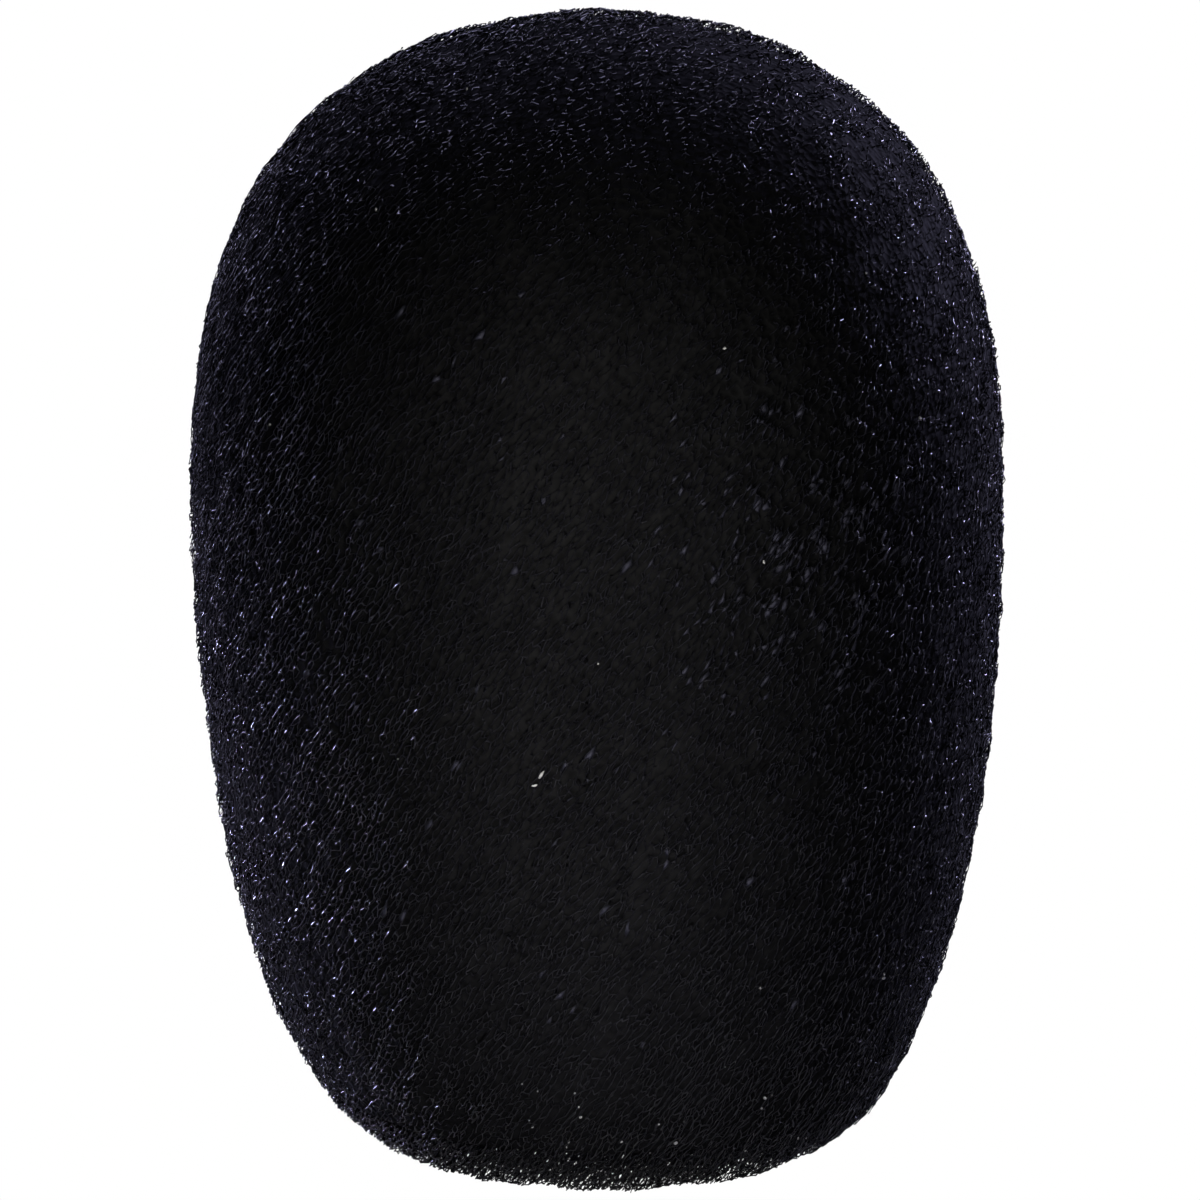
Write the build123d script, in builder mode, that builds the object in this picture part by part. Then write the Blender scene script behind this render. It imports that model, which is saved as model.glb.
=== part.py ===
from build123d import *
import os

# Egg-shaped slip-on foam windscreen for a hand-held microphone, with a locking collar inside its mouth.
# Millimetres. +Z is the axis of the egg. The origin is the middle of the mouth, in the plane of the
# lip that the windscreen stands on, so the foam fills z = 0 to egg_height.

# ---- driving dimensions: foam ----
egg_diameter = 63.0  # at the widest part
egg_height = 88.0  # lip to crown
widest_height = 53.0  # lip to the widest part
microphone_diameter = 32.0  # head of the microphone, which the pocket hugs
front_foam = 30.0  # end of the pocket to the crown
lip_radius = 1.1  # rounding of the mouth's inner edge
mouth_clearance = 0.4  # the mouth stands back from the microphone head by this much

# Fullness of the outline where each stretch starts and ends, as a share of the room it fills.
# 0.55 at both ends of a stretch makes a quarter of an ellipse.
shoulder_fullness = 0.67  # above the widest part
crown_fullness = 0.65  # at the top
flank_fullness = 0.69  # below the widest part
heel_fullness = 0.37  # where the outline turns under to the lip

# ---- driving dimensions: locking collar ----
collar_inset = 8.0  # lip to the collar's lower face
collar_clearance = 0.2  # radial gap between the collar's bore and the microphone head
band_height = 7.0
band_wall = 1.8
lead_in = 0.4  # chamfer where the microphone head enters the bore
flange_lift = 2.0  # band's lower face to the flange's lower face
flange_thickness = 1.6
flange_width = 1.6  # how far the flange keys into the foam
flange_edge_radius = 0.4
finger_count = 8
finger_length = 6.0
finger_wall = 1.2
finger_set_back = 0.3  # the fingers stand outside the bore by this much, so that only their beads touch
finger_room = 0.6  # gap behind and above the fingers, so that they can spread
slot_width = 3.2  # between two fingers
bead_reach = 0.15  # how far a bead stands inside the bore
bead_height = 2.2  # along the axis, both ramps included
bead_land = 0.6  # the straight part between the ramps

# ---- radii ----
egg_radius = egg_diameter / 2
pocket_radius = microphone_diameter / 2
mouth_radius = pocket_radius + mouth_clearance
lip_crest_radius = mouth_radius + lip_radius
bore_radius = pocket_radius + collar_clearance
band_radius = bore_radius + band_wall
flange_radius = band_radius + flange_width
finger_inner_radius = bore_radius + finger_set_back
finger_outer_radius = finger_inner_radius + finger_wall
finger_room_radius = finger_outer_radius + finger_room
bead_radius = bore_radius - bead_reach

# ---- heights ----
band_bottom = collar_inset
band_top = band_bottom + band_height
flange_bottom = band_bottom + flange_lift
flange_top = flange_bottom + flange_thickness
finger_top = band_top + finger_length
finger_room_top = finger_top + finger_room
pocket_top = egg_height - front_foam
dome_base = pocket_top - pocket_radius


# ---- foam body: one soft egg, with a blind pocket and a seat for the collar ----
with BuildPart() as foam_body:
    with BuildSketch(Plane.XZ):
        with BuildLine():
            crown = Bezier(
                (0, egg_height),
                (crown_fullness * egg_radius, egg_height),
                (egg_radius, widest_height + shoulder_fullness * (egg_height - widest_height)),
                (egg_radius, widest_height),
            )
            flank = Bezier(
                crown @ 1,
                (egg_radius, widest_height * (1 - flank_fullness)),
                (lip_crest_radius + heel_fullness * (egg_radius - lip_crest_radius), 0),
                (lip_crest_radius, 0),
            )
            lip = TangentArc(flank @ 1, (mouth_radius, lip_radius), tangent=flank % 1)
            seat = Polyline(
                lip @ 1,
                (mouth_radius, band_bottom),
                (band_radius, band_bottom),
                (band_radius, flange_bottom),
                (flange_radius, flange_bottom),
                (flange_radius, flange_top),
                (band_radius, flange_top),
                (band_radius, band_top),
                (finger_room_radius, band_top),
                (finger_room_radius, finger_room_top),
                (pocket_radius, finger_room_top),
                (pocket_radius, dome_base),
            )
            dome = TangentArc(seat @ 1, (0, pocket_top), tangent=(0, 1))
            Line(dome @ 1, crown @ 0)
        make_face()
    revolve(axis=Axis.Z)


# ---- locking collar: a band with a flange that keys into the foam, and a ring of latch fingers ----
with BuildPart() as locking_collar:
    with BuildSketch(Plane.XZ):
        with BuildLine():
            Polyline(
                (bore_radius + lead_in, band_bottom),
                (band_radius, band_bottom),
                (band_radius, flange_bottom),
                (flange_radius, flange_bottom),
                (flange_radius, flange_top),
                (band_radius, flange_top),
                (band_radius, band_top),
                (bore_radius, band_top),
                (bore_radius, band_bottom + lead_in),
                close=True,
            )
        make_face()
    revolve(axis=Axis.Z)
    flange_rim = locking_collar.edges().filter_by(GeomType.CIRCLE).group_by(SortBy.RADIUS)[-1]
    fillet(flange_rim, radius=flange_edge_radius)

    bead_ramp = (bead_height - bead_land) / 2
    with BuildSketch(Plane.XZ):
        with BuildLine():
            Polyline(
                (finger_inner_radius, band_top),
                (finger_outer_radius, band_top),
                (finger_outer_radius, finger_top),
                (finger_inner_radius, finger_top),
                (bead_radius, finger_top - bead_ramp),
                (bead_radius, finger_top - bead_ramp - bead_land),
                (finger_inner_radius, finger_top - bead_height),
                close=True,
            )
        make_face()
    revolve(axis=Axis.Z)

    with BuildSketch(Plane.XY.offset(band_top)):
        with PolarLocations(finger_room_radius / 2, finger_count):
            Rectangle(finger_room_radius, slot_width)
    extrude(amount=finger_length, mode=Mode.SUBTRACT)


os.makedirs("parts", exist_ok=True)
for name, piece in {"foam_body": foam_body, "locking_collar": locking_collar}.items():
    piece.part.label = name
    export_step(piece.part, f"parts/{name}.step")
    print(f"{name}: {piece.part.volume:.0f} cubic mm, {piece.part.bounding_box().size}")
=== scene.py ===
import math

import bmesh
import bpy
import numpy as np
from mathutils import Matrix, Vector, noise
from mathutils.bvhtree import BVHTree


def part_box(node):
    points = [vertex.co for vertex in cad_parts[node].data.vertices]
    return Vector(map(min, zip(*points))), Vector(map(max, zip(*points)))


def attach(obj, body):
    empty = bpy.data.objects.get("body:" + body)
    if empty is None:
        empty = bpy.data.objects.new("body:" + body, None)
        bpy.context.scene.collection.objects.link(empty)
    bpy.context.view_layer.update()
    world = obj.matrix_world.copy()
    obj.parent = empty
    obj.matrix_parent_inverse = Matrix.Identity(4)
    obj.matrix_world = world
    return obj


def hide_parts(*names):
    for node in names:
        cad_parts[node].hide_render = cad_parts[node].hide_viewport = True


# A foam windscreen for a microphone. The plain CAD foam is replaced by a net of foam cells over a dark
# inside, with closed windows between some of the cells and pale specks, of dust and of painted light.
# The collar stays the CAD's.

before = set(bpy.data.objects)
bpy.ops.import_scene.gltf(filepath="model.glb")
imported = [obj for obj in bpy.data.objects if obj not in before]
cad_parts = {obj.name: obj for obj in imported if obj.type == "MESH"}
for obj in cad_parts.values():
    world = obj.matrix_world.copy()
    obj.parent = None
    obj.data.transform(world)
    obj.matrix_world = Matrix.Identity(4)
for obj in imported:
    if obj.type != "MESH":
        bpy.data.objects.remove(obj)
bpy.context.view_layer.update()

MM = 0.001
SEED = 20

# ---- the foam's cells ----
CELL_PITCH = 0.64 * MM  # lattice constant of the cells, across the direction in which the foam rose
STRETCH = 3.0  # how much longer the cells are along that direction
RISE_TILT = 56  # degrees of that direction above level, seen from the front, leaning right
RISE_LEAN = 8  # degrees towards the front
JITTER = 0.085  # share of the lattice constant by which a joint strays
WANDER = 0.16  # share by which whole groups of joints stray
WANDER_WAVES = (9.0, 5.5, 3.5)  # sizes of those groups, in lattice constants
STRUT = 0.062 * MM  # from a strut's middle to its corners
STRUT_SPREAD = 0.25  # how unequal the struts are
ACROSS = 0.45  # a strut is across the rise if the cosine of the angle between them is less than this
CROSS_GAPS = 0.38  # share of the struts across the rise that are missing

# ---- the foam's cut surface ----
INSET = 0.12 * MM  # the joints stay this far below the CAD surface, so that the struts end at it
FUZZ = 0.03 * MM  # how far the joints at the surface stand out of it, on average
MOST_FUZZ = 0.16 * MM
FLOOR_GAP = 0.005 * MM  # the lowest struts end this far above the floor
LUMP = 0.08 * MM  # slow unevenness
LUMP_WAVES = (11 * MM, 5 * MM, 2.6 * MM)
TRUE_RADIUS = 18 * MM  # within this radius, which holds the mouth and the pocket, nothing leans
TRUE_EDGE = 4 * MM  # how far outside that the lean is full
SLOUCH = 0.45 * MM  # how far the outside of the lower end leans to the right
SLOUCH_HEIGHT = 45 * MM  # where the lean has come down to none
CUT_RISE = 0.45 * MM  # how much higher the lip is cut on the left
CUT_REACH = 16 * MM  # how far left of the middle that is full
CUT_HEIGHT = 10 * MM  # where it has come down to none

# ---- where the cells are built ----
SKIN = 0.40 * MM  # depth of the open net, over the foam's dark inside
POCKET_SKIN = 0.28 * MM  # the same on the walls of the pocket
PROUD = 0.24 * MM  # joints up to this far outside the surface are pulled back to it
OPEN_LIP = 4.6 * MM  # below this height the net goes all the way through
COLLAR_CHANNEL = (7.4 * MM, 21.9 * MM)  # heights between which the collar covers the inner wall
INNER_RADIUS = 19.303 * MM  # the walls of the mouth and the pocket are within this radius
INNER_TOP = 66 * MM  # and below this height
CORE_DEPTH = 0.46 * MM  # how far below the CAD surface the dark inside is
LIP_GAPS = 0.46  # share of the struts that are missing inside the lip, at its lowest
GAPS_HEIGHT = 2.7 * MM  # where that share has come down to none
GAPS_PATCHES = (6 * MM, 3 * MM)  # sizes of the patches with more or fewer of them
GAPS_SPREAD = 0.5  # how unequal those patches are
GAPS_DEPTH = 0.1 * MM  # none are missing nearer to the surface than this

# ---- how the net is divided ----
BANDS = 4  # of the outside, one above another
SECTORS = 6  # of each band
POCKET_SECTORS = 4

# ---- closed windows between cells ----
WINDOW_SHARE = 0.01  # anywhere on the outside
PATCH_SHARE = 0.95  # at the middle of the patch where most of them stayed closed
PATCH_PLACE = (18.5 * MM, -24.5 * MM, 56.0 * MM)
PATCH_REACH = 6.0 * MM  # sigma of the bell curve by which the share comes down round it
WINDOW_BULGE = 0.035 * MM  # half the thickness of a window at its middle
WINDOW_DEPTH = 0.26 * MM  # only windows nearer to the surface than this
WINDOW_FACING = 0.45  # least cosine of the angle between a window and the surface

# ---- pale specks: degrees round from the front, then height, length and thickness in mm ----
# the four lowest, up to 17 mm high, are painted light: pale grains that stand for points of light
SPECKS = (
    (-8, 38.1, 0.75, 0.24), (-9, 37.2, 0.50, 0.18), (54, 62.7, 0.42, 0.26), (20, 71.1, 0.30, 0.20),
    (-52, 86.0, 0.30, 0.18), (-46, 79.0, 0.26, 0.18), (-55, 62.1, 0.26, 0.16), (24, 54.6, 0.28, 0.20),
    (15, 5.6, 0.30, 0.24), (-3, 8.4, 0.26, 0.20), (31, 8.9, 0.26, 0.20), (53, 17.0, 0.45, 0.20),
)
MORE_SPECKS = 30  # small ones anywhere
MORE_RANGES = (0, 360), (3, 83), (0.14, 0.26), (0.10, 0.18)
MORE_SINK = 1.8  # above 1, there are more of them lower down
LOW_LIGHT_SPECKS = 16  # small pale grains low on the front, painted light: they stand for points of light showing through the lip
LOW_LIGHT_RANGES = (-18, 34), (3, 13), (0.12, 0.24), (0.09, 0.16)
SPECK_LEAN = 35  # degrees from upright, on average
SPECK_LEAN_SPREAD = 53
SPECK_LEAN_STEP = 2.4  # from one speck to the next, in the angle whose sine sets the lean
SPECK_WOBBLE = 0.45  # how uneven the grains are
SPECK_WAVES = 2.2  # how quickly that changes over a grain


def smooth_field(points, lengths, seed, waves=4):
    """Random vectors that vary smoothly over space, with these wavelengths and parts of about 1."""
    field = np.zeros_like(points)
    local = np.random.default_rng(seed)
    for length in lengths:
        for _ in range(waves):
            way = local.normal(size=3)
            way *= 2 * math.pi / length / np.linalg.norm(way)
            push = local.normal(size=3)
            field += np.sin(points @ way + local.uniform(0, 2 * math.pi))[:, None] * push
    return field / math.sqrt(waves / 2 * len(lengths))


def unevenness(points):
    """How far the foam's lower end strays from true here."""
    r = np.hypot(points[:, 0], points[:, 1])
    outside = np.clip((r - TRUE_RADIUS) / TRUE_EDGE, 0, 1)
    lean = SLOUCH * outside * np.clip(1 - points[:, 2] / SLOUCH_HEIGHT, 0, 1)
    left = np.clip(-points[:, 0] / CUT_REACH, 0, 1)
    rise = CUT_RISE * left * np.clip(1 - points[:, 2] / CUT_HEIGHT, 0, 1)
    return np.column_stack([lean, np.zeros(len(points)), rise])


# ---- the foam's surface, as the depth below it ----
class Skin:
    """Depth below the surface of a turned CAD node, kept on a grid of radius and height."""

    def __init__(self, node, step=0.15 * MM, margin=3 * MM):
        low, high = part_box(node.name)
        self.step = step
        self.lowest = low.z - margin
        radii = np.arange(0, high.x + margin, step)
        heights = np.arange(self.lowest, high.z + margin, step)
        faces = [p.vertices for p in node.data.polygons]
        tree = BVHTree.FromPolygons([v.co for v in node.data.vertices], faces, epsilon=0.0)
        self.grid = np.empty((len(radii), len(heights)))
        for i, r in enumerate(radii):
            for j, z in enumerate(heights):
                here = Vector((r, 0, z))
                place, normal, _, distance = tree.find_nearest(here)
                self.grid[i, j] = math.copysign(distance, (place - here).dot(normal))

    def sample(self, r, z):
        """The grid's depths at these radii and heights, interpolated."""
        rows, columns = self.grid.shape
        i = np.clip(r / self.step, 0, rows - 1.001)
        j = np.clip((z - self.lowest) / self.step, 0, columns - 1.001)
        i0, j0 = i.astype(int), j.astype(int)
        u, v = i - i0, j - j0
        low = self.grid[i0, j0] * (1 - v) + self.grid[i0, j0 + 1] * v
        high = self.grid[i0 + 1, j0] * (1 - v) + self.grid[i0 + 1, j0 + 1] * v
        return low * (1 - u) + high * u

    def depth(self, points):
        """How far these points are below the surface that the joints keep to."""
        lumps = smooth_field(points, LUMP_WAVES, SEED + 3)[:, 0]
        points = points - unevenness(points)
        r = np.hypot(points[:, 0], points[:, 1])
        return self.sample(r, points[:, 2]) + lumps * LUMP - INSET

    def outermost(self, angle, z, limit=34 * MM, step=0.05 * MM):
        """The largest radius that is inside the foam, at this angle and height."""
        radii = np.arange(0, limit, step)
        across, along = radii * math.cos(angle), radii * math.sin(angle)
        inside = self.depth(np.column_stack([across, along, np.full(len(radii), z)])) > 0
        return radii[inside].max()

    def inward(self, points):
        """The direction straight into the foam at these points."""
        points = points - unevenness(points)
        r = np.hypot(points[:, 0], points[:, 1])
        z = points[:, 2]
        dr = self.sample(r + self.step, z) - self.sample(np.abs(r - self.step), z)
        dz = self.sample(r, z + self.step) - self.sample(r, z - self.step)
        flat = points[:, :2] / np.maximum(r, 1e-9)[:, None]
        way = np.column_stack([flat * dr[:, None], dz])
        return way / np.maximum(np.linalg.norm(way, axis=1), 1e-9)[:, None]


def inner_side(points):
    """True at the walls of the mouth and the pocket, False at the outside of the foam."""
    r = np.hypot(points[:, 0], points[:, 1])
    return (r < INNER_RADIUS) & (points[:, 2] > OPEN_LIP) & (points[:, 2] < INNER_TOP)


def near_net(points, below, reach=0):
    """True within this reach of where the net is built: the skin, all of the lip, the pocket's wall."""
    deep = np.where(inner_side(points), POCKET_SKIN, SKIN)
    deep = np.where(points[:, 2] < OPEN_LIP, np.inf, deep)
    return (below > -PROUD - reach) & (below < deep + reach)


def behind_collar(points):
    """True where the collar hides the inner wall, so that no net is needed."""
    low, high = COLLAR_CHANNEL
    return inner_side(points) & (points[:, 2] > low) & (points[:, 2] < high)


# ---- the cell lattice: truncated octahedra, with four struts to a joint ----
NEAR = np.array([(i, j, k) for i in (-1, 0, 1) for j in (-1, 0, 1) for k in (-1, 0, 1)])
STRUT_LENGTH = math.sqrt(2) / 4  # in lattice constants, before the stretch
SAME = 1e-6  # lattice measures that differ by less than this are equal
UNIT = 12  # joints in a unit of the lattice
UNIT_REACH = 0.9  # in lattice constants, about as far as a joint gets from the middle of its unit
SLOTS = 4  # cells round a joint, and corners of the joint, one towards each of them


def unit_joints():
    """The 12 joints of one unit of the lattice, and the middles of the 4 cells round each."""
    joints = []
    for zero in range(3):
        for half in range(3):
            if half != zero:
                for quarter in (0.25, 0.75):
                    place = np.full(3, quarter)
                    place[zero], place[half] = 0, 0.5
                    joints.append(place)
    joints = np.array(joints)
    middles = np.concatenate([NEAR, NEAR + 0.5])
    away = np.linalg.norm(middles[None] - joints[:, None], axis=2)
    cells = middles[np.argsort(away, axis=1, kind="stable")[:, :SLOTS]]
    return joints, cells


def unit_struts(joints, cells):
    """The 24 struts of one unit: the joint at each end, the step to the unit of the second one,
    and at each end the slots of the three cells round the strut and of the cell beyond its end."""
    struts = []
    for a in range(UNIT):
        for step in NEAR:
            for b in range(UNIT):
                way = joints[b] + step - joints[a]
                again = (*step, b) < (0, 0, 0, a)
                if again or abs(np.linalg.norm(way) - STRUT_LENGTH) > SAME:
                    continue
                at_a, at_b = shared_slots(cells[a], cells[b] + step, way)
                struts.append((a, b, step, at_a, at_b))
    return struts


def shared_slots(here, there, way):
    """The slots of the cells that two joints share, in order round the way from the first to the
    second, and then the slot of each joint's other cell."""
    slots = [(s, t) for s in range(SLOTS) for t in range(SLOTS)]
    pairs = [(s, t) for s, t in slots if np.allclose(here[s], there[t])]
    p, q, r = (here[s] for s, _ in pairs)
    if np.dot(np.cross(q - p, r - p), way) < 0:
        pairs.reverse()
    at_here, at_there = [s for s, _ in pairs], [t for _, t in pairs]
    every = sum(range(SLOTS))
    return at_here + [every - sum(at_here)], at_there + [every - sum(at_there)]


def unit_caps(joints, cells):
    """For each joint and each of its slots, the other three slots in the order that faces outwards."""
    ways = cells - joints[:, None]
    caps = np.empty((UNIT, SLOTS, 3), int)
    for joint in range(UNIT):
        for slot in range(SLOTS):
            rest = [s for s in range(SLOTS) if s != slot]
            p, q, r = ways[joint][rest]
            facing = np.dot(np.cross(q - p, r - p), ways[joint][slot])
            caps[joint, slot] = rest[::-1] if facing > 0 else rest
    return caps


def unit_windows(joints, cells):
    """The 14 windows of one unit: for each, its ring of joints as (joint, step) pairs in order."""
    corner, centre = np.zeros(3), np.full(3, 0.5)
    squares = [(cell, cell + step) for cell in (corner, centre) for step in np.eye(3)]
    ways = [np.array((i, j, k)) for i in (-1, 1) for j in (-1, 1) for k in (-1, 1)]
    hexagons = [(corner, way * 0.5) for way in ways]
    windows = []
    for one, other in squares + hexagons:
        ring = []
        for step in NEAR:
            for joint in range(UNIT):
                gaps = np.linalg.norm(cells[joint] + step - one, axis=1).min()
                gaps += np.linalg.norm(cells[joint] + step - other, axis=1).min()
                if gaps < SAME:
                    ring.append((joint, step))
        middle = (one + other) / 2
        spokes = [joints[j] + step - middle for j, step in ring]
        side = spokes[0]
        up = np.cross(other - one, side)
        wide, tall = np.linalg.norm(side), np.linalg.norm(up)
        angles = [math.atan2(np.dot(s, up) / tall, np.dot(s, side) / wide) for s in spokes]
        windows.append([ring[k] for k in np.argsort(angles)])
    return windows


class Net:
    """The foam's joints, corners, struts and closed windows."""

    def __init__(self, skin, box):
        self.rng = np.random.default_rng(SEED)
        self.joints, self.cells = unit_joints()
        self.lay_units(skin, box)
        self.place_joints(skin)
        self.join_struts()

    def lay_units(self, skin, box):
        """The units of the lattice that come near the skin."""
        tilt, lean = math.radians(RISE_TILT), math.radians(RISE_LEAN)
        level = math.cos(lean)
        rise = np.array([math.cos(tilt) * level, -math.sin(lean), math.sin(tilt) * level])
        self.rise = rise
        turn = np.linalg.qr(np.random.default_rng(SEED + 2).normal(size=(3, 3)))[0]
        self.to_space = CELL_PITCH * (np.eye(3) + (STRETCH - 1) * np.outer(rise, rise)) @ turn
        low, high = np.array(box[0]) - MM, np.array(box[1]) + MM  # with room to spare
        corners = np.array([[(low, high)[b >> k & 1][k] for k in range(3)] for b in range(8)])
        inside = corners @ np.linalg.inv(self.to_space).T
        self.first = np.floor(inside.min(0)).astype(int) - 2
        count = np.ceil(inside.max(0)).astype(int) + 3 - self.first
        units = np.stack(np.meshgrid(*[np.arange(n) for n in count], indexing="ij"), -1).reshape(-1, 3)
        middle = (units + self.first + 0.5) @ self.to_space.T
        near = (middle > low).all(1) & (middle < high).all(1)
        units, middle = units[near], middle[near]
        reach = UNIT_REACH * CELL_PITCH * STRETCH
        self.units = units[near_net(middle, skin.depth(middle), reach)]
        # the units' numbers, by place, with a border so that every unit has neighbours to look up
        self.index = np.full(count + 2, -1)
        self.index[tuple(self.units.T + 1)] = np.arange(len(self.units))

    def place_joints(self, skin):
        """Where each joint is, which joints are kept, and their four corners."""
        place = (self.units[:, None] + self.first + self.joints[None]).reshape(-1, 3)
        place = (place + self.rng.normal(size=place.shape) * JITTER) @ self.to_space.T
        waves = np.array(WANDER_WAVES) * CELL_PITCH
        place += smooth_field(place, waves, SEED + 1) * WANDER * CELL_PITCH
        below = skin.depth(place)
        self.kept = near_net(place, below) & ~behind_collar(place)
        out = self.kept & (below < 0)
        proud = np.minimum(self.rng.exponential(FUZZ, out.sum()), MOST_FUZZ)
        place[out] -= skin.inward(place[out]) * (below[out] + proud)[:, None]
        place[:, 2] = np.maximum(place[:, 2], STRUT)
        self.place, self.below = place, below

        towards = (self.cells - self.joints[:, None]) @ self.to_space.T
        towards /= np.linalg.norm(towards, axis=2)[:, :, None]
        width = STRUT * np.exp(self.rng.normal(size=len(place)) * STRUT_SPREAD)
        spread = np.tile(towards, (len(self.units), 1, 1)) * width[:, None, None]
        self.corners = (place[:, None] + spread).reshape(-1, 3)
        self.corners[:, 2] = np.maximum(self.corners[:, 2], FLOOR_GAP)

    def joint_at(self, joint, step):
        """The number of this joint in the unit one step from each unit, or -1."""
        beside = self.index[tuple((self.units + 1 + step).T)]
        found = np.where(beside >= 0, beside * UNIT + joint, -1)
        return np.where((found >= 0) & self.kept[found], found, -1)

    def join_struts(self):
        """Rows of: two joints, three corners and the cap's corner at one end, and at the other."""
        rows = []
        for a, b, step, at_a, at_b in unit_struts(self.joints, self.cells):
            i, j = self.joint_at(a, 0), self.joint_at(b, step)
            both = (i >= 0) & (j >= 0)
            i, j = i[both][:, None], j[both][:, None]
            rows.append(np.hstack([i, j, i * SLOTS + at_a, j * SLOTS + at_b]))
        rows = np.concatenate(rows)
        ends = np.bincount(rows[:, :2].ravel(), minlength=len(self.place))
        tied = (ends[rows[:, :2]] > 1).any(1)
        self.struts = rows[tied & ~self.gaps(rows)]

    def gaps(self, rows):
        """The struts that are missing: some of those across the rise, and many inside the lip."""
        start, end = self.place[rows[:, 0]], self.place[rows[:, 1]]
        way = end - start
        along = np.abs(way @ self.rise) / np.linalg.norm(way, axis=1)
        across = (along < ACROSS) & (self.rng.random(len(rows)) < CROSS_GAPS)
        patchy = 1 + GAPS_SPREAD * smooth_field(start, GAPS_PATCHES, SEED + 4)[:, 0]
        share = LIP_GAPS * patchy * np.clip(1 - start[:, 2] / GAPS_HEIGHT, 0, 1)
        buried = (self.below[rows[:, :2]] > GAPS_DEPTH).all(1) & (start[:, 2] < OPEN_LIP)
        return across | (buried & (self.rng.random(len(rows)) < share))

    def piece(self, name, rows):
        """Closed shells of these struts: three sides to each, and a cap where a joint has no strut."""
        a, b, c, spare, d, e, f, other_spare = rows[:, 2:].T
        sides = (a, b, e, d), (b, c, f, e), (c, a, d, f)
        quads = np.concatenate([np.column_stack(side) for side in sides])
        bare = np.zeros(len(self.corners), bool)
        bare[(rows[:, :2, None] * SLOTS + np.arange(SLOTS)).ravel()] = True
        bare[spare] = False
        bare[other_spare] = False
        joint, slot = np.divmod(np.flatnonzero(bare), SLOTS)
        caps = unit_caps(self.joints, self.cells)
        triangles = joint[:, None] * SLOTS + caps[joint % UNIT, slot]
        return build_mesh(name, self.corners, quads, triangles)

    def closed(self, ring, skin):
        """The windows with this ring of joints that are closed: their rims, middles and directions."""
        joints = np.stack([self.joint_at(joint, step) for joint, step in ring], 1)
        joints = joints[(joints >= 0).all(1)]
        rims = self.place[joints]
        middle = rims.mean(1)
        away = ((middle - PATCH_PLACE) ** 2).sum(1)
        share = WINDOW_SHARE + PATCH_SHARE * np.exp(-away / (2 * PATCH_REACH ** 2))
        facing = np.cross(rims[:, 0] - middle, rims[:, 1] - middle)
        facing /= np.linalg.norm(facing, axis=1)[:, None]
        level = np.abs((facing * skin.inward(middle)).sum(1)) > WINDOW_FACING
        shallow = self.below[joints].mean(1) < WINDOW_DEPTH
        outer = shallow & level & ~inner_side(middle)
        chosen = outer & (self.rng.random(len(joints)) < share)
        return rims[chosen], middle[chosen], facing[chosen]

    def windows(self, name, skin):
        """Thin lenses that close some of the windows between cells at the outside of the foam."""
        points, triangles = [], []
        used = 0
        for ring in unit_windows(self.joints, self.cells):
            rims, middle, facing = self.closed(ring, skin)
            bulge = facing * WINDOW_BULGE
            lenses = np.concatenate([rims, (middle + bulge)[:, None], (middle - bulge)[:, None]], 1)
            firsts = used + np.arange(len(lenses)) * lenses.shape[1]
            points.append(lenses.reshape(-1, 3))
            triangles.append((firsts[:, None, None] + lens_faces(len(ring))).reshape(-1, 3))
            used += len(points[-1])
        no_quads = np.zeros((0, 4), int)
        return build_mesh(name, np.concatenate(points), no_quads, np.concatenate(triangles))


def lens_faces(sides):
    """Triangles between the rim of a lens and the middles of its two faces, which follow the rim."""
    rim = np.arange(sides)
    after = np.roll(rim, -1)
    return np.concatenate([
        np.column_stack([np.full(sides, sides), rim, after]),
        np.column_stack([np.full(sides, sides + 1), after, rim]),
    ])


def build_mesh(name, points, quads, triangles):
    """A smooth-shaded mesh object from arrays, keeping only the points that its faces use."""
    corners = np.concatenate([quads.ravel(), triangles.ravel()])
    kept, corners = np.unique(corners, return_inverse=True)
    sizes = np.concatenate([np.full(len(quads), 4), np.full(len(triangles), 3)])
    starts = np.concatenate([[0], np.cumsum(sizes)[:-1]])
    mesh = bpy.data.meshes.new(name)
    mesh.vertices.add(len(kept))
    mesh.vertices.foreach_set("co", points[kept].astype(np.float32).ravel())
    mesh.loops.add(len(corners))
    mesh.loops.foreach_set("vertex_index", corners.astype(np.int32))
    mesh.polygons.add(len(sizes))
    mesh.polygons.foreach_set("loop_start", starts.astype(np.int32))
    mesh.polygons.foreach_set("loop_total", sizes.astype(np.int32))
    mesh.update(calc_edges=True)
    mesh.polygons.foreach_set("use_smooth", np.ones(len(sizes), bool))
    piece = bpy.data.objects.new(name, mesh)
    bpy.context.scene.collection.objects.link(piece)
    return piece


def foam_inside(node, skin):
    """The foam below the open net: the CAD surface moved inwards, and pressed up out of the lip."""
    shape = bmesh.new()
    shape.from_mesh(node.data)
    bmesh.ops.remove_doubles(shape, verts=shape.verts, dist=0.001 * MM)
    points = np.array([v.co for v in shape.verts])
    points += skin.inward(points) * CORE_DEPTH + unevenness(points)
    points[:, 2] = np.maximum(points[:, 2], OPEN_LIP)
    for vertex, place in zip(shape.verts, points):
        vertex.co = place
    bmesh.ops.recalc_face_normals(shape, faces=shape.faces)
    mesh = bpy.data.meshes.new("foam_inside")
    shape.to_mesh(mesh)
    shape.free()
    piece = bpy.data.objects.new("foam_inside", mesh)
    bpy.context.scene.collection.objects.link(piece)
    return piece


def small_specks(local, count, ranges, sink=1):
    """Rows like those of SPECKS, within these ranges."""
    turns, (low, high), lengths, thicknesses = ranges
    return np.column_stack([
        local.uniform(*turns, count), low + (high - low) * local.random(count) ** sink,
        local.uniform(*lengths, count), local.uniform(*thicknesses, count),
    ])


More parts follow.
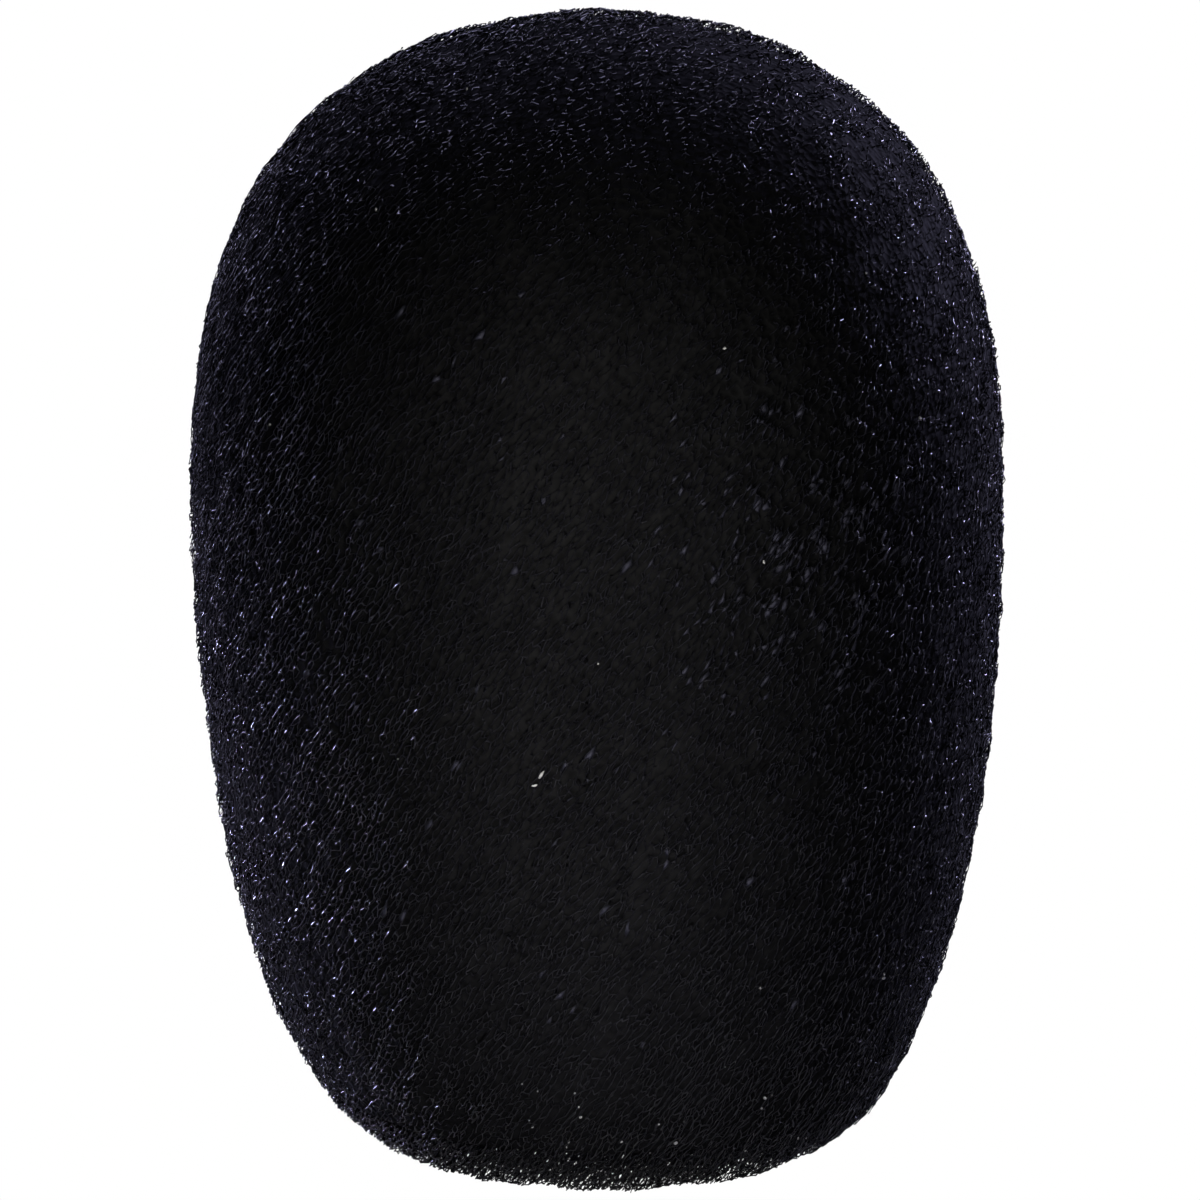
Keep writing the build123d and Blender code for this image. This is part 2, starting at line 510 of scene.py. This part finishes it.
def foam_specks(skin):
    """Pale grains on the outside: dust, and grains that stand for points of light low on the front and
    at some listed places, which are painted light.
    """
    shape = bmesh.new()
    local = np.random.default_rng(SEED + 5)
    more = small_specks(local, MORE_SPECKS, MORE_RANGES, MORE_SINK)
    # the low grains are painted light: they stand for points of light low on the front
    low = small_specks(local, LOW_LIGHT_SPECKS, LOW_LIGHT_RANGES)
    for number, (turn, height, length, thickness) in enumerate((*SPECKS, *more, *low)):
        angle = math.radians(turn - 90)
        z = height * MM
        r = skin.outermost(angle, z)
        grain = bmesh.ops.create_icosphere(shape, subdivisions=2, radius=0.5)["verts"]
        lean = math.radians(SPECK_LEAN + SPECK_LEAN_SPREAD * math.sin(number * SPECK_LEAN_STEP))
        for vertex in grain:
            spot = vertex.co * SPECK_WAVES + Vector((number, 0, 0))
            wobble = 1 + SPECK_WOBBLE * noise.noise(spot)
            x, y, up = vertex.co * wobble
            x, up = x * thickness * MM, up * length * MM
            side = x * math.cos(lean) + up * math.sin(lean)
            rise = up * math.cos(lean) - x * math.sin(lean)
            away = r + y * thickness * MM
            vertex.co = (
                away * math.cos(angle) - side * math.sin(angle),
                away * math.sin(angle) + side * math.cos(angle),
                z + rise,
            )
    mesh = bpy.data.meshes.new("foam_specks")
    shape.to_mesh(mesh)
    shape.free()
    piece = bpy.data.objects.new("foam_specks", mesh)
    bpy.context.scene.collection.objects.link(piece)
    return piece


# ---- materials ----
class Material:
    """A Principled material with a few helpers for the nodes that vary it."""

    def __init__(self, name, roughness, specular):
        self.material = bpy.data.materials.new(name)
        self.material.use_nodes = True
        self.tree = self.material.node_tree
        self.shader = self.tree.nodes["Principled BSDF"]
        self.shader.inputs["Specular IOR Level"].default_value = specular
        self.shader.inputs["Roughness"].default_value = roughness
        self.place = self.tree.nodes.new("ShaderNodeTexCoord").outputs["Object"]

    def noise(self, size, detail=2.0):
        """Noise with features about this many millimetres across."""
        node = self.tree.nodes.new("ShaderNodeTexNoise")
        node.inputs["Scale"].default_value = 1 / (size * MM)
        node.inputs["Detail"].default_value = detail
        self.tree.links.new(self.place, node.inputs["Vector"])
        return node.outputs["Fac"]

    def cells(self, size):
        """Cells about this many millimetres across, dark in their middles."""
        node = self.tree.nodes.new("ShaderNodeTexVoronoi")
        node.inputs["Scale"].default_value = 1 / (size * MM)
        self.tree.links.new(self.place, node.inputs["Vector"])
        return node.outputs["Distance"]

    def colours(self, factor, dark, bright, ends=(0.3, 0.7)):
        """Base colour that goes from dark to bright as the factor goes from one end to the other."""
        ramp = self.tree.nodes.new("ShaderNodeValToRGB")
        for element, position, colour in zip(ramp.color_ramp.elements, ends, (dark, bright)):
            element.position = position
            element.color = (*colour, 1)
        self.tree.links.new(factor, ramp.inputs["Fac"])
        self.tree.links.new(ramp.outputs["Color"], self.shader.inputs["Base Color"])

    def roughness(self, factor, low, high, ends=(0.3, 0.7)):
        """Roughness that goes from low to high as the factor goes from one end to the other."""
        node = self.tree.nodes.new("ShaderNodeMapRange")
        node.inputs["From Min"].default_value, node.inputs["From Max"].default_value = ends
        node.inputs["To Min"].default_value = low
        node.inputs["To Max"].default_value = high
        self.tree.links.new(factor, node.inputs["Value"])
        self.tree.links.new(node.outputs["Result"], self.shader.inputs["Roughness"])

    def bump(self, factor, height, strength):
        """Bumps this many millimetres high."""
        node = self.tree.nodes.new("ShaderNodeBump")
        node.inputs["Distance"].default_value = height * MM
        node.inputs["Strength"].default_value = strength
        self.tree.links.new(factor, node.inputs["Height"])
        self.tree.links.new(node.outputs["Normal"], self.shader.inputs["Normal"])


def strut_material():
    """Glossy black polyurethane, a little bluish and duller in places."""
    look = Material("foam_struts", roughness=0.3, specular=0.3)
    look.colours(look.noise(3.0, 4.0), (0.0023, 0.0023, 0.0027), (0.0042, 0.0042, 0.0050))
    look.roughness(look.noise(0.7), 0.10, 0.26)
    look.bump(look.noise(0.12), 0.01, 0.5)
    return look.material


def film_material():
    """The thin skin of polyurethane across a closed window, greyer than a strut: partly its own tone,
    partly painted sheen for the light that it reflects.
    """
    look = Material("foam_film", roughness=0.45, specular=0.25)
    # a lighter grey than the struts, partly painted sheen
    look.colours(look.noise(1.2, 3.0), (0.008, 0.008, 0.011), (0.016, 0.016, 0.022))
    look.roughness(look.noise(0.5), 0.35, 0.6)
    look.bump(look.noise(0.25), 0.02, 0.6)
    return look.material


def depths_material():
    """What shows between the struts: cells further in, which hardly any light leaves, painted darker in
    their middles as shade in their pits.
    """
    look = Material("foam_depths", roughness=0.9, specular=0.05)
    dark, bright = (0.0021, 0.0021, 0.0021), (0.0038, 0.0038, 0.0038)
    # darker in the middle of each cell, where the bump sinks it: painted shade in the pits, over the
    # foam's own black
    look.colours(look.cells(0.7), dark, bright, ends=(0.2, 0.8))
    look.bump(look.cells(0.7), 0.2, 1.0)
    return look.material


def plastic_material():
    """Moulded black plastic with a fine satin texture."""
    look = Material("collar_plastic", roughness=0.4, specular=0.5)
    look.colours(look.noise(4.0, 3.0), (0.012, 0.012, 0.013), (0.018, 0.018, 0.019))
    look.roughness(look.noise(1.5, 3.0), 0.34, 0.48)
    look.bump(look.noise(0.15, 3.0), 0.01, 0.4)
    return look.material


def dust_and_painted_light_material():
    """Pale, dull grains: dust and lint, and painted light where they stand for points of light."""
    look = Material("dust_and_painted_light", roughness=0.8, specular=0.3)
    look.colours(look.noise(0.3), (0.12, 0.12, 0.11), (0.26, 0.26, 0.25))
    return look.material


def ride(piece, material):
    """Give this piece its material and fix it to the body."""
    piece.data.materials.append(material)
    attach(piece, "root")
    return piece


# ---- the foam ----
def divided(net):
    """Names and struts of the pieces of the net: bands and sectors of the outside, and the pocket's."""
    middle = (net.place[net.struts[:, 0]] + net.place[net.struts[:, 1]]) / 2
    turn = (np.arctan2(middle[:, 1], middle[:, 0]) / (2 * math.pi)) % 1
    pocket = inner_side(middle)
    for sector in range(POCKET_SECTORS):
        yield f"pocket_net_{sector + 1}", pocket & ((turn * POCKET_SECTORS).astype(int) == sector)
    height = middle[:, 2]
    levels = np.quantile(height[~pocket], np.arange(1, BANDS) / BANDS)
    band = np.searchsorted(levels, height)
    for b in range(BANDS):
        for s in range(SECTORS):
            here = (band == b) & ((turn * SECTORS).astype(int) == s)
            yield f"foam_net_{b + 1}_{s + 1}", ~pocket & here


def make_foam():
    """The dark inside, the net over it, the closed windows and the pale specks of dust and painted
    light.
    """
    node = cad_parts["foam_body"]
    skin = Skin(node)
    net = Net(skin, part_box("foam_body"))
    struts = strut_material()
    inside = ride(foam_inside(node, skin), depths_material())
    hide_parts("foam_body")
    for name, mine in divided(net):
        ride(net.piece(name, net.struts[mine]), struts)
    ride(net.windows("foam_windows", skin), film_material())
    ride(foam_specks(skin), dust_and_painted_light_material())


make_foam()
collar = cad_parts["locking_collar"]
collar.data.materials.clear()
collar.data.materials.append(plastic_material())


# ---- studio ----
COOL = (0.64, 0.62, 1.0)
NEUTRAL = (1.0, 0.98, 0.96)


def seen_and_lit(tree, seen, lit, output, socket):
    """A shader that is `seen` by the camera and `lit` for everything else."""
    rays = tree.nodes.new("ShaderNodeLightPath")
    mix = tree.nodes.new("ShaderNodeMixShader")
    tree.links.new(rays.outputs["Is Camera Ray"], mix.inputs["Fac"])
    tree.links.new(lit, mix.inputs[1])
    tree.links.new(seen, mix.inputs[2])
    tree.links.new(mix.outputs["Shader"], output.inputs[socket])


def make_world():
    """White behind the object, and a dim even light on it."""
    world = bpy.data.worlds.new("studio")
    bpy.context.scene.world = world
    world.use_nodes = True
    tree = world.node_tree
    lit = tree.nodes["Background"]
    lit.inputs["Color"].default_value = (0.92, 0.94, 1.0, 1)
    lit.inputs["Strength"].default_value = 0.03
    seen = tree.nodes.new("ShaderNodeBackground")
    seen.inputs["Color"].default_value = (1, 1, 1, 1)
    seen.inputs["Strength"].default_value = 1.0
    seen_and_lit(tree, seen.outputs[0], lit.outputs[0], tree.nodes["World Output"], "Surface")


def make_floor(size=3.0):
    """A floor that the camera sees as white, and that lights the object like a grey one."""
    mesh = bpy.data.meshes.new("floor")
    corners = [(-size, -size, 0), (size, -size, 0), (size, size, 0), (-size, size, 0)]
    mesh.from_pydata(corners, [], [(0, 1, 2, 3)])
    floor = bpy.data.objects.new("floor", mesh)
    bpy.context.scene.collection.objects.link(floor)
    material = bpy.data.materials.new("floor")
    material.use_nodes = True
    tree = material.node_tree
    lit = tree.nodes["Principled BSDF"]
    lit.inputs["Base Color"].default_value = (0.40, 0.40, 0.40, 1)
    lit.inputs["Roughness"].default_value = 0.8
    seen = tree.nodes.new("ShaderNodeEmission")
    seen.inputs["Strength"].default_value = 1.0
    seen_and_lit(tree, seen.outputs[0], lit.outputs[0], tree.nodes["Material Output"], "Surface")
    mesh.materials.append(material)


def softbox(name, place, size, power, colour, aim=(0, 0, 0.044), spread=180):
    """A square light at this place, facing this point, with its beam this many degrees wide."""
    light = bpy.data.lights.new(name, "AREA")
    light.size = size
    light.energy = power
    light.color = colour
    light.spread = math.radians(spread)
    lamp = bpy.data.objects.new(name, light)
    bpy.context.scene.collection.objects.link(lamp)
    lamp.location = place
    lamp.rotation_euler = (Vector(aim) - lamp.location).to_track_quat("-Z", "Y").to_euler()
    lamp.visible_camera = False
    return lamp


def strip_light(name, place, height, power, colour, width=0.02):
    """A narrow upright light close to the foam, which makes no highlights."""
    lamp = softbox(name, place, width, power, colour)
    lamp.data.shape = "RECTANGLE"
    lamp.data.size_y = height
    lamp.visible_glossy = False


def make_camera(elevation=18.0, distance=2.5, aim=(0.0002, 0, 0.04225), half_view=0.0464):
    """A camera in front, looking down by its elevation in degrees, that sees this far to each side."""
    camera = bpy.data.cameras.new("camera")
    camera.sensor_width = 36
    camera.angle = 2 * math.atan(half_view / distance)
    viewer = bpy.data.objects.new("camera", camera)
    bpy.context.scene.collection.objects.link(viewer)
    angle = math.radians(elevation)
    viewer.location = Vector(aim) + Vector((0, -math.cos(angle), math.sin(angle))) * distance
    viewer.rotation_euler = (math.pi / 2 - angle, 0, 0)
    bpy.context.scene.camera = viewer


bpy.context.scene.view_settings.view_transform = "Standard"
make_world()
make_floor()
softbox("left", (-0.42, 0.40, 0.14), 0.12, 1.15, COOL)
softbox("right", (0.42, 0.36, 0.13), 0.12, 4.3, COOL)
softbox("low_left", (-0.42, 0.22, 0.03), 0.06, 0.019, COOL, aim=(-0.022, -0.008, 0.010), spread=8)
softbox("above", (-0.05, 0.40, 0.48), 0.45, 2.5, COOL)
strip_light("front", (-0.002, -0.066, 0.049), 0.092, 0.070, NEUTRAL)
strip_light("low_front", (-0.002, -0.062, 0.010), 0.014, 0.008, COOL)
make_camera()
